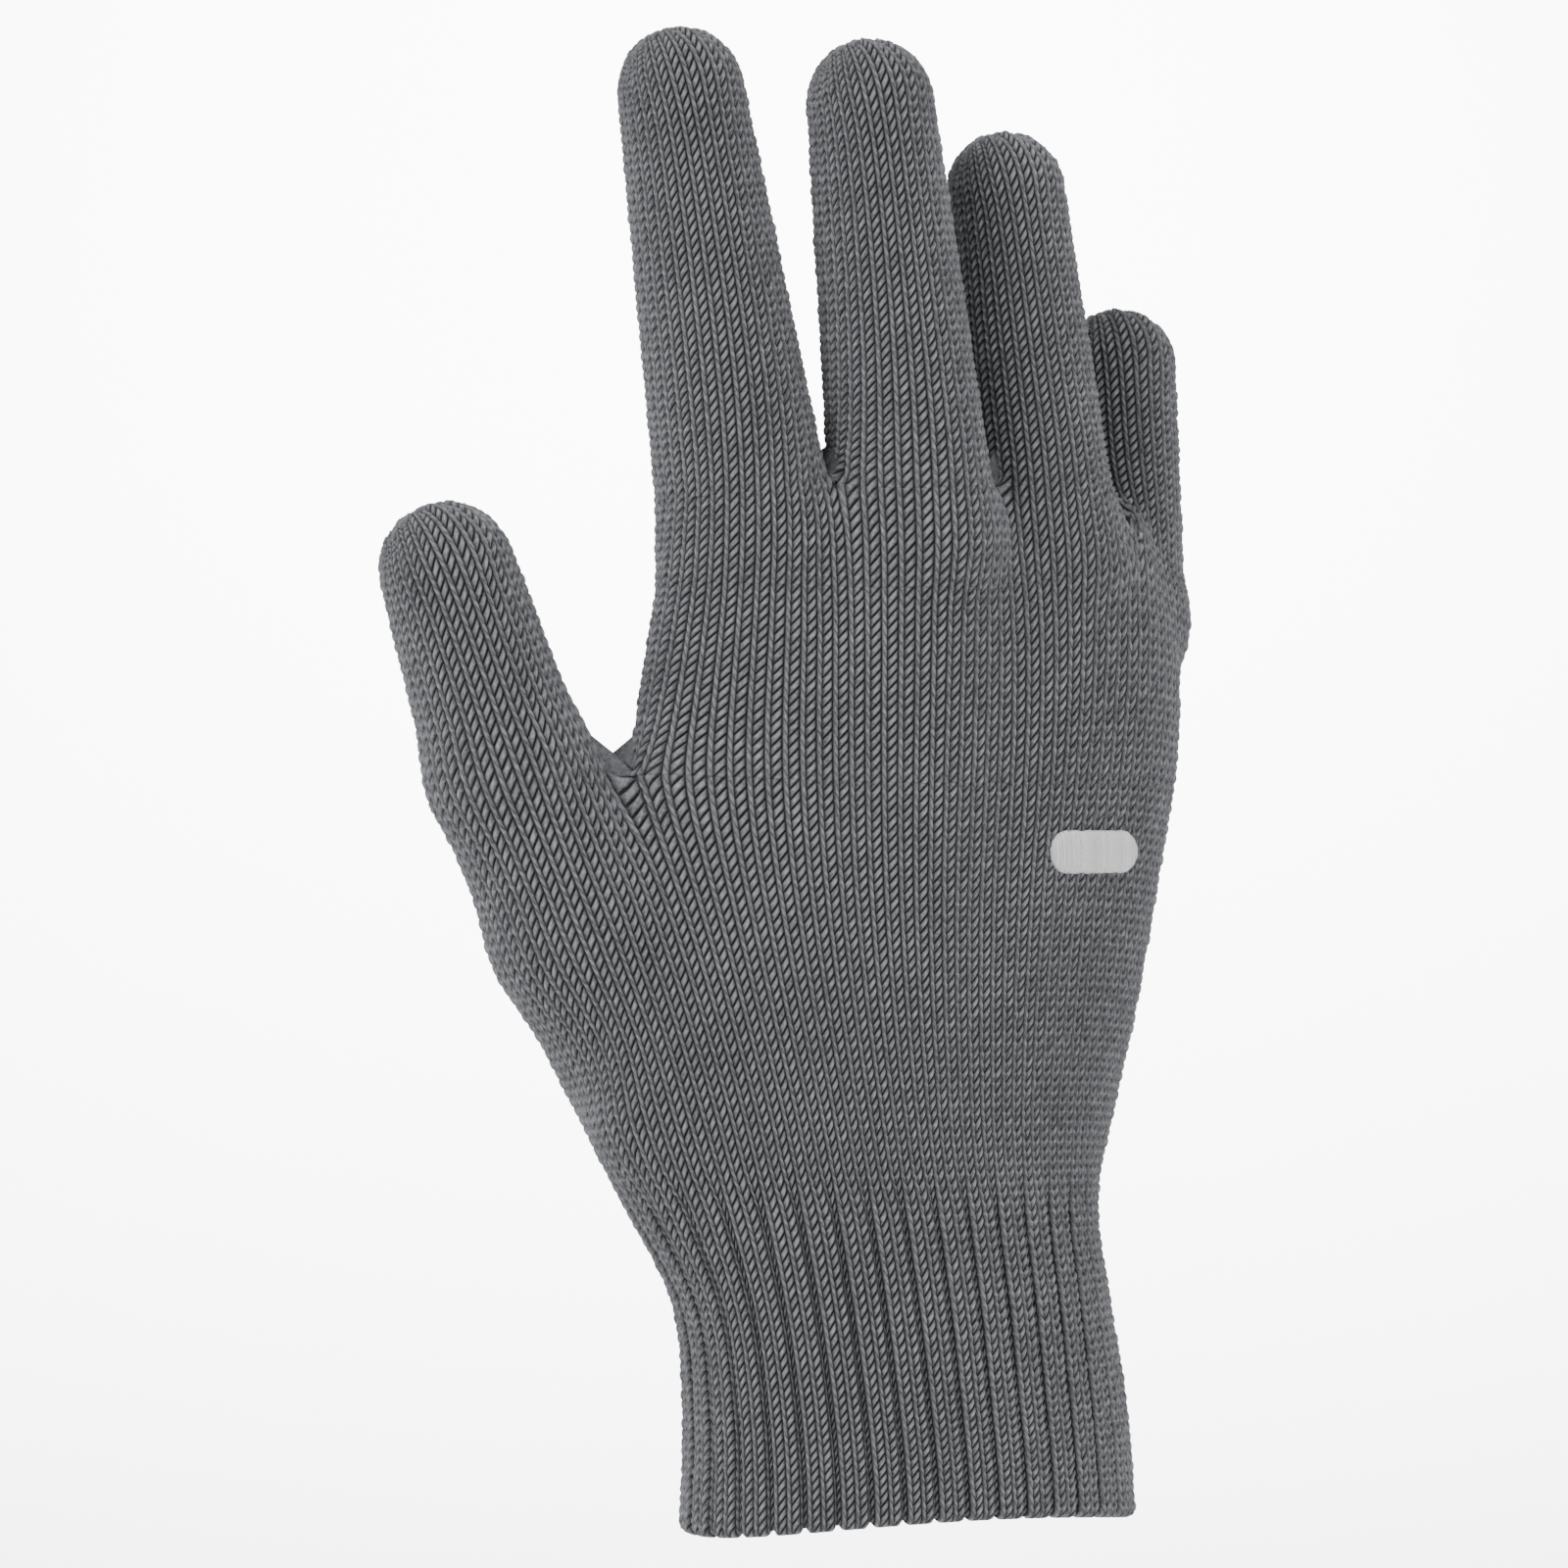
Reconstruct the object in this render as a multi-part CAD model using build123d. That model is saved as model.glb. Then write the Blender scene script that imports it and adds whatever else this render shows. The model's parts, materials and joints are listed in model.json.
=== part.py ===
from build123d import *
import math
import os

# A knitted glove for the right hand, filled as if worn. Millimetres, +Z up.
# Origin: centre of the cuff's mouth. +Z runs up to the fingertips, the back of
# the hand faces -Y, the thumb is on the -X side and the little finger on +X.

# ---------------------------------------------------------------- dimensions
KNIT_WALL = 2.0          # thickness of the stockinette fabric
RIB_WALL = 2.6           # thickness of the ribbed cuff fabric
BEND_SLOT = 0.4          # half of the slot between two bodies' fabric at a hinge
GATHER_GAP = 0.15        # gap that keeps a bend's gathered fabric off its neighbours

WELT_LENGTH = 5.0        # rolled hem at the mouth
WRIST_Z = 60.0           # height of the wrist's bend
WRIST_BEND = 35.0        # degrees of wrist flexion, and of extension
THUMB_SPLIT_Z = 108.0    # lower palm below, upper palm above
PALM_TOP_Z = 168.0       # crotches of the index, middle and ring fingers
LITTLE_TOP_Z = PALM_TOP_Z - 14.5        # the palm ends lower under the little finger
LITTLE_SIDE_X = 36.6     # side of the palm's taller part, between ring and little finger
THUMB_ROOT_Z = 100.0

# Palm and cuff outline: height, centre X, centre Y, half-width, half-depth.
SECTIONS = [
    (0, 0.0, 0.0, 40.5, 24.0),
    (20, 0.0, 0.0, 40.3, 23.0),
    (38, -3.5, 0.0, 40.3, 22.5),
    (56, -9.0, 1.0, 44.0, 22.0),
    (76, -8.0, 3.0, 49.0, 21.5),
    (104, -2.5, 5.0, 51.5, 21.0),
    (140, 3.5, 6.5, 52.0, 19.5),
    (PALM_TOP_Z, 4.5, 8.0, 51.0, 17.0),
]

# Each finger: root point on its axis, centre of its round tip, radius at both,
# and the distances of its three bends along the axis, with each bend's range.
FINGERS = {
    "index": {
        "root": (-28.3, 8.0, PALM_TOP_Z - 8.0), "tip": (-37.3, 9.0, PALM_TOP_Z + 65.0),
        "radii": (12.7, 10.4), "bends": (21.0, 44.5, 64.5), "flex": (70, 78, 39), "extend": 12,
    },
    "middle": {
        "root": (-0.5, -0.5, PALM_TOP_Z - 8.0), "tip": (-7.0, 0.5, PALM_TOP_Z + 63.7),
        "radii": (12.5, 10.4), "bends": (21.0, 44.0, 64.0), "flex": (62, 70, 35), "extend": 12,
    },
    "ring": {
        "root": (25.4, 4.5, PALM_TOP_Z - 11.0), "tip": (21.8, 6.5, PALM_TOP_Z + 50.6),
        "radii": (12.0, 10.0), "bends": (21.0, 40.5, 57.5), "flex": (66, 70, 35), "extend": 12,
    },
    "little": {
        "root": (47.0, 14.5, PALM_TOP_Z - 20.0), "tip": (50.0, 17.5, PALM_TOP_Z + 21.4),
        "radii": (10.7, 9.4), "bends": (13.0, 27.3, 39.0), "flex": (56, 56, 28), "extend": 10,
    },
}
BEND_NAMES = ("root", "middle", "tip")
FINGER_SWING = Vector(0, 1, 0)          # way a fingertip travels as it bends

THUMB = {
    "root": (-54.0, 12.0, THUMB_ROOT_Z), "tip": (-76.0, 15.0, THUMB_ROOT_Z + 54.4),
    "radii": (16.0, 11.6), "bends": (37.0, 54.0), "flex": (35, 55), "extend": 10,
}
THUMB_SWING = Vector(0.62, 0.78, 0)
THUMB_SINK = 24.0        # how far the thumb's tube starts inside the palm

SEAM_PROUD = 0.5         # bound-off ridge that closes a fingertip
SEAM_WIDTH = 1.6
SEAM_SINK = 0.8          # how deep the ridge sits in the fingertip's fabric

EMBLEM_LENGTH = 19.0     # plain satin-stitched bar on the back of the hand
EMBLEM_HEIGHT = 7.0
EMBLEM_PROUD = 0.9       # thread standing proud of the knit
EMBLEM_X = 28.0
EMBLEM_Z = 110.0
BACKING_MARGIN = 2.5     # backing cloth beyond the stitching, inside the glove
BACKING_THICK = 0.5

ELASTIC_ROWS = 6         # elastane yarns laid inside the cuff
ELASTIC_THICK = 0.6
ELASTIC_HEIGHT = 0.9
ELASTIC_PITCH = 6.5
ELASTIC_CLEAR = 0.25     # between the elastane and the rib's inner face

LABEL_WIDTH = 16.0       # blank satin label sewn inside the cuff
LABEL_LENGTH = 22.0
LABEL_THICK = 0.4
LABEL_Z = 9.0
STITCHES = 5
STITCH_LENGTH = 2.0
STITCH_SIZE = 0.5

FAR = 200.0              # wider than the glove, for cutting tools
WEDGE_REACH = 60.0
SPARE_ANGLE = 1.5        # extra opening at a bend beyond its range, each side


# ------------------------------------------------------------------- helpers
def save(shapes, node):
    """Write the solids of one sub-part as parts/NODE.step."""
    solids = [shape.solid() if isinstance(shape, Solid) else largest(shape) for shape in shapes]
    export_step(solids[0] if len(solids) == 1 else Compound(children=solids), f"parts/{node}.step")


def largest(shape):
    """The main solid, without any crumb that a cut left."""
    return max(shape.solids(), key=lambda solid: solid.volume)


def section_at(z):
    """Centre and half-sizes of the palm's outline at one height."""
    for low, high in zip(SECTIONS, SECTIONS[1:]):
        if z <= high[0]:
            break
    t = (z - low[0]) / (high[0] - low[0])
    return [a + (b - a) * t for a, b in zip(low[1:], high[1:])]


def oval_tube(z_low, z_high, wall):
    """Solid of stacked oval sections between two heights, pulled in by the wall."""
    heights = [z_low] + [row[0] for row in SECTIONS if z_low < row[0] < z_high] + [z_high]
    wires = []
    for z in heights:
        x, y, half_x, half_y = section_at(z)
        wires.append((Pos(x, y, z) * Ellipse(half_x - wall, half_y - wall)).face().outer_wire())
    return Solid.make_loft(wires, ruled=True)


def digit(spec, start, wall):
    """Tapered finger with round ends, from a distance along its axis, pulled in by the wall."""
    axis = Vector(*spec["tip"]) - Vector(*spec["root"])
    length = axis.length
    slope = (spec["radii"][0] - spec["radii"][1]) / length
    low = spec["radii"][0] - slope * start - wall
    top = spec["radii"][1] - wall
    foot, crown = low * math.sqrt(0.5), top * math.sqrt(0.5)
    outline = Curve() + [
        ThreePointArc((0, start - low), (foot, start - foot), (low, start)),
        Line((low, start), (top, length)),
        ThreePointArc((top, length), (crown, length + crown), (0, length + top)),
        Line((0, length + top), (0, start - low)),
    ]
    turned = Rot(90, 0, 0) * revolve(make_face(outline), Axis.Y)
    return Plane(origin=spec["root"], x_dir=(1, 0, 0), z_dir=axis) * turned


def bend_frames(spec, swing):
    """Plane at each bend: X is the way the tip swings, Y runs along the digit, Z is the hinge."""
    root = Vector(*spec["root"])
    along = (Vector(*spec["tip"]) - root).normalized()
    sideways = (swing - along * swing.dot(along)).normalized()
    return [Plane(origin=root + along * distance, x_dir=sideways, z_dir=sideways.cross(along))
            for distance in spec["bends"]]


def wedge(frame, flex, extend, slot):
    """The part of a tube that folds at a bend: open towards the swing and, less, behind it."""
    front = WEDGE_REACH * math.tan(math.radians(flex / 2 + SPARE_ANGLE))
    back = WEDGE_REACH * math.tan(math.radians(extend / 2 + SPARE_ANGLE))
    outline = Polyline((0, slot), (WEDGE_REACH, slot + front), (WEDGE_REACH, -slot - front),
                       (0, -slot), (-WEDGE_REACH, -slot - back), (-WEDGE_REACH, slot + back),
                       close=True)
    return frame * extrude(make_face(outline), FAR / 2, both=True)


def beyond(frame):
    """Everything on the far side of a bend's hinge."""
    return frame * (Pos(0, FAR / 2, 0) * Box(FAR, FAR, FAR))


def split_digit(shell, frames, flexes, extend):
    """Cut a hollow digit at its bends: its rigid segments and its gathered bends, root to tip."""
    segments, gathers = [], []
    rest = shell
    for frame, flex in zip(frames, flexes):
        opening = wedge(frame, flex, extend, BEND_SLOT)
        gathered = wedge(frame, flex, extend, BEND_SLOT - GATHER_GAP)
        gathers.append(largest(rest & gathered))
        segments.append(largest(rest - beyond(frame) - opening))
        rest = (rest & beyond(frame)) - opening
    return segments + [largest(rest)], gathers


def bar(length, height, x, z):
    """Plain bar with round ends, run through the back of the hand along Y."""
    face = Plane.XZ * SlotOverall(length, height)
    return Pos(x, 0, z) * extrude(face, FAR / 2)


# ------------------------------------------------------------ cuff and wrist
def wrist_frame():
    x, y = section_at(WRIST_Z)[:2]
    return Plane(origin=(x, y, WRIST_Z), x_dir=(0, 1, 0), z_dir=(1, 0, 0))


def wrist_fold(slot):
    """The part of the glove that folds at the wrist."""
    return wedge(wrist_frame(), WRIST_BEND, WRIST_BEND, slot)


def make_cuff():
    """Ribbed cuff with its rolled hem, elastane yarns, label and the wrist's gathered fabric."""
    gathered = wrist_fold(BEND_SLOT - GATHER_GAP)
    tube = oval_tube(0, WRIST_Z, 0) - oval_tube(0, WRIST_Z, RIB_WALL) - wrist_fold(BEND_SLOT)
    hem_zone = Pos(0, 0, WELT_LENGTH / 2) * Box(FAR, FAR, WELT_LENGTH)
    cuff = tube - hem_zone

    yarns = []
    for row in range(ELASTIC_ROWS):
        z = WELT_LENGTH + ELASTIC_PITCH * (row + 0.5)
        x, y, half_x, half_y = section_at(z)
        near = RIB_WALL + ELASTIC_CLEAR
        deep = near + ELASTIC_THICK
        ring = Ellipse(half_x - near, half_y - near) - Ellipse(half_x - deep, half_y - deep)
        yarns.append(extrude(Pos(x, y, z) * ring, ELASTIC_HEIGHT))

    label_top = LABEL_Z + LABEL_LENGTH
    lining = RIB_WALL + 2 * ELASTIC_CLEAR + ELASTIC_THICK
    label_zone = Pos(0, FAR / 4, LABEL_Z + LABEL_LENGTH / 2) * Box(LABEL_WIDTH, FAR / 2, LABEL_LENGTH)
    label = (oval_tube(0, WRIST_Z, lining) - oval_tube(0, WRIST_Z, lining + LABEL_THICK)) & label_zone
    stitch_layer = (oval_tube(0, WRIST_Z, lining + LABEL_THICK)
                    - oval_tube(0, WRIST_Z, lining + LABEL_THICK + STITCH_SIZE))
    stitches = []
    for count in range(STITCHES):
        x = (count - (STITCHES - 1) / 2) * LABEL_WIDTH / STITCHES
        tool = Pos(x, FAR / 4, label_top - STITCH_LENGTH) * Box(STITCH_LENGTH, FAR / 2, STITCH_SIZE)
        stitches.append(stitch_layer & tool)

    save([cuff], "rib_cuff")
    save([tube & hem_zone], "cuff_hem")
    save(yarns, "cuff_elastic_yarns")
    save([label], "care_label")
    save(stitches, "care_label_stitches")
    low, high = WRIST_Z - WEDGE_REACH / 2, WRIST_Z + WEDGE_REACH / 2
    save([(oval_tube(low, high, 0) - oval_tube(low, high, KNIT_WALL)) & gathered], "wrist_bend_knit")


# ---------------------------------------------------------------------- palm
def palm_solid(wall):
    """The palm's filled shape, pulled in by the wall and lower under the little finger."""
    tall = oval_tube(WRIST_Z, PALM_TOP_Z - wall, wall)
    corner = Pos(LITTLE_SIDE_X - wall + FAR / 2, 0, LITTLE_TOP_Z - wall + FAR / 2) * Box(FAR, FAR, FAR)
    return tall - corner


def make_palm():
    """Palm tube in two lengths, with holes for the thumb and fingers, and the emblem."""
    outer = palm_solid(0)
    shell = outer - palm_solid(KNIT_WALL) - wrist_fold(BEND_SLOT)
    for spec in FINGERS.values():
        shell = shell - digit(spec, 0, KNIT_WALL)
    shell = shell - digit(THUMB, -THUMB_SINK, KNIT_WALL)
    upper_zone = Pos(0, 0, THUMB_SPLIT_Z + FAR / 2) * Box(FAR, FAR, FAR)
    lower = shell - upper_zone
    upper = shell & upper_zone

    thread = oval_tube(WRIST_Z, PALM_TOP_Z, -EMBLEM_PROUD) - outer
    backing = oval_tube(WRIST_Z, PALM_TOP_Z - KNIT_WALL, KNIT_WALL) - oval_tube(
        WRIST_Z, PALM_TOP_Z - KNIT_WALL, KNIT_WALL + BACKING_THICK)
    cloth = bar(EMBLEM_LENGTH + 2 * BACKING_MARGIN, EMBLEM_HEIGHT + 2 * BACKING_MARGIN,
                EMBLEM_X, EMBLEM_Z)
    save([lower], "palm_lower")
    save([upper], "palm_upper")
    save([thread & bar(EMBLEM_LENGTH, EMBLEM_HEIGHT, EMBLEM_X, EMBLEM_Z)], "emblem")
    save([backing & cloth], "emblem_backing")
    return outer


# -------------------------------------------------------------------- digits
def make_seam(spec, frame, tip):
    """Ridge over a fingertip where its last stitches are bound off, and the tip it sits in."""
    length = (Vector(*spec["tip"]) - Vector(*spec["root"])).length
    band = digit(spec, 0, -SEAM_PROUD) - digit(spec, 0, SEAM_SINK)
    dome = Plane(origin=spec["tip"], x_dir=frame.x_dir, z_dir=frame.z_dir)
    slab = dome * (Pos(0, length / 2, 0) * Box(SEAM_WIDTH, length, FAR))
    seam = band & slab
    return seam, tip - seam


def make_digit(name, spec, swing, segment_names, start, palm):
    """One digit: its tube in segments, its gathered bends and its closing seam."""
    frames = bend_frames(spec, swing)
    shell = digit(spec, start, 0) - digit(spec, start, KNIT_WALL) - palm
    segments, gathers = split_digit(shell, frames, spec["flex"], spec["extend"])
    seam, tip = make_seam(spec, frames[-1], segments[-1])
    segments[-1] = tip
    for segment, label in zip(segments, segment_names):
        save([segment], f"{name}_{label}")
    bends = BEND_NAMES if len(gathers) == len(BEND_NAMES) else ("root", "tip")
    for gather, label in zip(gathers, bends):
        save([gather], f"{name}_{label}_bend_knit")
    save([seam], f"{name}_tip_seam")


def main():
    os.makedirs("parts", exist_ok=True)
    make_cuff()
    palm = make_palm()
    for name, spec in FINGERS.items():
        make_digit(name, spec, FINGER_SWING, ("base", "lower_tube", "middle_tube", "fingertip"),
                   0, palm)
    make_digit("thumb", THUMB, THUMB_SWING, ("base", "tube", "fingertip"), -THUMB_SINK,
               palm + wrist_fold(BEND_SLOT))


if __name__ == "__main__":
    main()
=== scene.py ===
import json
import math
import bpy
import numpy as np
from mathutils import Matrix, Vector


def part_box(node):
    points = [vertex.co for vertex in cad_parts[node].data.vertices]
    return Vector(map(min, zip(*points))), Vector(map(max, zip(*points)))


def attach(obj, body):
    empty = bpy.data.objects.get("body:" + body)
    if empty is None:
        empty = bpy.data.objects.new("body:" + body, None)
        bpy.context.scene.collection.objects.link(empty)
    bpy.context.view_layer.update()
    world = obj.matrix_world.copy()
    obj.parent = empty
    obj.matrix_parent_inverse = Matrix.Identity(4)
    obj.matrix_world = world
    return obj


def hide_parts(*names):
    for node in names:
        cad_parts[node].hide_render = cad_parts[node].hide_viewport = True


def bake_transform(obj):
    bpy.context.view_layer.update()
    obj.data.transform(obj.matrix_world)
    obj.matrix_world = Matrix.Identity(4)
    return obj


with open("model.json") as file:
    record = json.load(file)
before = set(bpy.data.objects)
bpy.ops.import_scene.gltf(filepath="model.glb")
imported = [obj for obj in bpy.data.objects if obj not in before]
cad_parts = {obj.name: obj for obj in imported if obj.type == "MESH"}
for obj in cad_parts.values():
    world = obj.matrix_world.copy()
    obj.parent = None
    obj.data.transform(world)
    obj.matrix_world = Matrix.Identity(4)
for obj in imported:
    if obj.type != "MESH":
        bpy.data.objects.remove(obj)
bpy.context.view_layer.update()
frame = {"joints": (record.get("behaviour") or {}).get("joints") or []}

bpy.ops.object.select_all(action="DESELECT")

# A knitted glove for the right hand, filled as if worn. The glove's own sizes below are in
# millimetres, because knitting is counted that way, and meshes are written in metres.
# -Y is out of the back of the hand, the thumb is at -X and the fingertips are up.
MM = 0.001

# ------------------------------------------------------------ places from the frame
JOINTS = {joint["name"]: joint for joint in frame["joints"]}


def hinge(name):
    """A joint's place in millimetres."""
    return np.array(JOINTS[name]["pos_m"], float) / MM


def corners(node):
    """The lowest and the highest corner of a node's box in millimetres."""
    return [np.array(corner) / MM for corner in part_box(node)]


# Radius at the root and at the tip, how far the root is below the first bend, and how far the
# filled fabric stands to the side of the line of hinges at the root. The little finger's knit
# ends a little above its CAD node.
DIGITS = {
    "index": {"radii": (14.5, 10.2), "below": 21.0, "aside": 2.9},
    "middle": {"radii": (13.7, 10.3), "below": 21.0, "aside": 1.5},
    "ring": {"radii": (13.0, 9.7), "below": 21.0, "aside": 2.6},
    "little": {"radii": (11.0, 9.4), "below": 13.0, "aside": 1.4, "taller": 2.0},
    "thumb": {"radii": (13.0, 10.9), "below": 12.0, "aside": -2.6},
}
FINGERS = ("index", "middle", "ring", "little")
for name, digit in DIGITS.items():
    first, last = hinge(f"{name}_root_bend"), hinge(f"{name}_tip_bend")
    digit["along"] = (last - first) / np.linalg.norm(last - first)
    digit["root"] = first - digit["along"] * digit["below"]
    top = corners(f"{name}_fingertip")[1][2] + digit.get("taller", 0)
    rise = top - digit["radii"][1] - digit["root"][2]
    digit["length"] = rise / digit["along"][2]
    digit["tip"] = digit["root"] + digit["along"] * digit["length"]
    digit["root"] = digit["root"] + (digit["aside"], 0, 0)
    digit["length"] = np.linalg.norm(digit["tip"] - digit["root"])
    digit["along"] = (digit["tip"] - digit["root"]) / digit["length"]

WRIST = hinge("wrist_bend")
HEM_Z = 0.0
THUMB_ROW_Z = 121.0       # last course below the thumb's crotch
LITTLE_ROW_Z = 152.0      # last course below the little finger's crotch
FINGER_ROW_Z = 167.0      # last course below the other fingers' crotches

# --------------------------------------------------------------- the filled hand form
# Palm and cuff outline: height, centre X, centre Y, half-width, half-depth.
OUTLINE = np.array([
    (0, 0.0, 0.0, 39.8, 23.0),
    (20, -0.6, 0.0, 38.7, 22.0),
    (38, -3.4, 0.0, 38.2, 21.5),
    (52, -7.8, 0.5, 41.2, 21.0),
    (66, -9.5, 1.5, 46.8, 20.5),
    (84, -5.0, 3.0, 48.0, 20.0),
    (104, -1.5, 4.0, 49.3, 19.0),
    (128, 2.5, 4.5, 49.8, 18.0),
    (150, 4.1, 5.5, 47.2, 16.0),
    (162, 4.0, 6.0, 44.0, 13.5),
    (170, 4.5, 6.0, 40.0, 11.0),
], float)
OUTLINE_POWER = 2.1       # 2 is an oval, more is squarer
ROUND_TOP = 8.0           # how softly the palm's sides turn over between the fingers
DEEPEST = 15.0            # distances inside the palm are cut off here
# Where the hand's long bones leave the wrist, and how thick the hand is there.
KNUCKLE_STARTS = {
    "index": ((-19, 4, 75), 17.5),
    "middle": ((-5, 2, 75), 17.5),
    "ring": ((6, 3, 75), 17.5),
    "little": ((14, 5, 75), 17.5),
}
THUMB_BALL = [((-31, 8, 66), 19.5), ((-52, 12, 98), 16.2)]
BETWEEN_FINGERS = 0.8     # how softly surfaces run together, in millimetres
INTO_PALM = 3.5
ACROSS_KNUCKLES = 5.0
# The palm is this much slimmer than the finger roots that it runs into.
KNUCKLE_IN = {"index": 1.2, "middle": 1.2, "ring": 1.2, "little": 0.0}
INTO_THUMB = 4.0


def outline_at(z):
    """Centre and half-sizes of the outline at heights z, on a smooth curve."""
    z = np.clip(z, OUTLINE[0, 0], OUTLINE[-1, 0])
    heights, values = OUTLINE[:, 0], OUTLINE[:, 1:]
    slope = np.gradient(values, heights, axis=0)
    i = np.clip(np.searchsorted(heights, z, side="right") - 1, 0, len(heights) - 2)
    step = (heights[i + 1] - heights[i])[..., None]
    t = ((z - heights[i])[..., None]) / step
    return ((2 * t**3 - 3 * t**2 + 1) * values[i] + (t**3 - 2 * t**2 + t) * step * slope[i]
            + (3 * t**2 - 2 * t**3) * values[i + 1] + (t**3 - t**2) * step * slope[i + 1])


def soft_min(a, b, softness):
    share = np.clip(0.5 + 0.5 * (b - a) / softness, 0, 1)
    return b * (1 - share) + a * share - softness * share * (1 - share)


def cone(p, a, b, radius_a, radius_b):
    """Distance to a round-ended cone."""
    a, b = np.asarray(a, float), np.asarray(b, float)
    along = b - a
    t = np.clip((p - a) @ along / (along @ along), 0, 1)
    return np.linalg.norm(p - a - t[:, None] * along, axis=1) - (radius_a + (radius_b - radius_a) * t)


def palm_distance(p):
    shape = outline_at(p[:, 2])
    across = np.abs(p[:, 0] - shape[:, 0]) / shape[:, 2] + 1e-6
    deep = np.abs(p[:, 1] - shape[:, 1]) / shape[:, 3] + 1e-6
    n = OUTLINE_POWER
    size = (across**n + deep**n) ** (1 / n)
    slope = np.hypot((across / size) ** (n - 1) / shape[:, 2], (deep / size) ** (n - 1) / shape[:, 3])
    side = np.clip((size - 1) / slope, -DEEPEST, None)
    return -soft_min(-side, OUTLINE[-1, 0] - p[:, 2], ROUND_TOP)


def form(p):
    """Distance in millimetres from points to the surface of the filled hand."""
    hand = palm_distance(p)
    tubes = None
    for name in FINGERS:
        digit = DIGITS[name]
        start, thick = KNUCKLE_STARTS[name]
        hand = soft_min(hand, cone(p, start, digit["root"], thick, digit["radii"][0] - KNUCKLE_IN[name]),
                        ACROSS_KNUCKLES)
        tube = cone(p, digit["root"], digit["tip"], *digit["radii"])
        tubes = tube if tubes is None else soft_min(tubes, tube, BETWEEN_FINGERS)
    hand = soft_min(hand, tubes, INTO_PALM)
    digit = DIGITS["thumb"]
    chain = THUMB_BALL + [(digit["root"], digit["radii"][0]), (digit["tip"], digit["radii"][1])]
    thumb = None
    for (a, radius_a), (b, radius_b) in zip(chain, chain[1:]):
        part = cone(p, a, b, radius_a, radius_b)
        thumb = part if thumb is None else soft_min(thumb, part, INTO_THUMB)
    return soft_min(hand, thumb, INTO_THUMB)


def outward(p, reach=0.4):
    """Outward direction of the form's surface near points."""
    slope = np.empty_like(p)
    for axis in range(3):
        step = np.zeros(3)
        step[axis] = reach
        slope[:, axis] = form(p + step) - form(p - step)
    return slope / (np.linalg.norm(slope, axis=1)[:, None] + 1e-9)


LONGEST_MOVE = 2.5        # of a point towards the surface, in one round


def settle(p, rounds=2):
    """Points moved onto the form's surface, and the outward direction there."""
    for _ in range(rounds):
        normal = outward(p)
        p = p - normal * np.clip(form(p), -LONGEST_MOVE, LONGEST_MOVE)[:, None]
    return p, normal


# ------------------------------------------------------------------ the knitted stitches
# Wales run up the glove and courses run round it. One grid point per stitch.
COURSE = 1.62             # height of a course
CUFF_WALES = 108
THUMB_RUN = 24            # wales that leave the palm for the thumb
CROTCH = 4                # stitches cast on across each crotch
PALM_WALES = CUFF_WALES - THUMB_RUN + CROTCH
# Wales each finger takes from the palm; the middle and ring take as many again on the palm side.
INDEX_RUN, MIDDLE_RUN, RING_RUN, LITTLE_RUN = 26, 11, 10, 20
THREE_FINGER_SHARE = 0.80 # width of the palm above the little finger's crotch
# Stitches start a little outside the form: by this much in X, Y and the half-sizes.
GUIDE_GROWTH = np.array([4.0, 2.0, 5.0, 8.0])
GUIDE_Z = (80.0, 115.0)
GORE_Z = 70.0             # where the thumb begins to widen the palm
DOME_ARC = 1.15           # a fingertip's rounding, in radii, up to its seam
SEAM_SPAN = 0.95          # half of the seam's arc over a fingertip, in radians
SEAMS = {}
POINTS = []               # all grid points, in order of making


def new_points(points):
    """Adds grid points and gives back their numbers."""
    start = sum(len(group) for group in POINTS)
    POINTS.append(np.asarray(points, float))
    return np.arange(start, start + len(points))


def oval_ring(z, turns):
    """Points round the palm at one height, at even shares of the way round from the -X side."""
    fine = np.linspace(0, 2 * math.pi, 721)
    wider = np.clip((z - GUIDE_Z[0]) / (GUIDE_Z[1] - GUIDE_Z[0]), 0, 1)
    x, y, half_x, half_y = outline_at(np.array([z]))[0] + wider * GUIDE_GROWTH
    ring = np.stack([x - half_x * np.cos(fine), y - half_y * np.sin(fine)], 1)
    length = np.concatenate([[0], np.cumsum(np.linalg.norm(np.diff(ring, axis=0), axis=1))])
    at = (np.asarray(turns) % 1.0) * length[-1]
    return np.stack([np.interp(at, length, ring[:, 0]), np.interp(at, length, ring[:, 1]),
                     np.full(len(at), float(z))], 1)


def digit_ring(digit, distance, radius, angles):
    """Points round a digit's axis; the angle is 0 on its +X side and grows towards the palm side."""
    side = np.array([1.0, 0, 0])
    side -= digit["along"] * (side @ digit["along"])
    side /= np.linalg.norm(side)
    deep = np.cross(digit["along"], side)
    centre = digit["root"] + digit["along"] * distance
    return centre + radius * (np.cos(angles)[:, None] * side + np.sin(angles)[:, None] * deep)


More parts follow.
